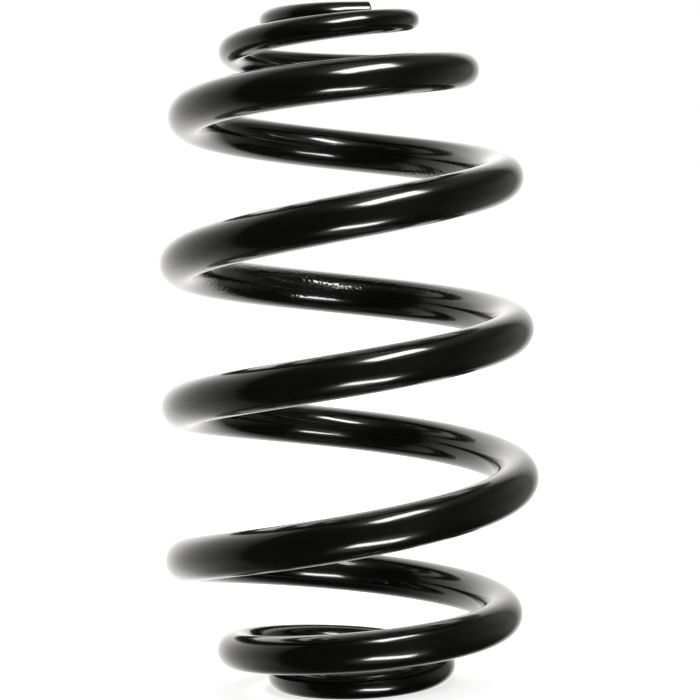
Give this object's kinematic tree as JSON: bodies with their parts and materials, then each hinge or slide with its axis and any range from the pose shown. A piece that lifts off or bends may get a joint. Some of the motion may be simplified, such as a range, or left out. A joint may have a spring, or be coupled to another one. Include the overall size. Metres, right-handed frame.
{
  "type": "suspension spring",
  "caption": "Barrel-shaped coil spring for a car's rear suspension, wound from one round steel bar tapered to small flat end rings, coated gloss black.",
  "frame": {"origin": "on the coil's axis at the plane that the lower end ring stands on, which is the face of the lower spring seat", "axes": "+Z along the coil's axis, from the larger lower end ring to the smaller upper one; -Y faces the viewer of the picture, and +X is to the viewer's right"},
  "size_m": [0.1316, 0.1313, 0.2378],
  "materials": {
    "black_coated_steel": "gloss"
  },
  "bodies": {
    "root": {"coil_spring": "black_coated_steel"}
  },
  "joints": []
}
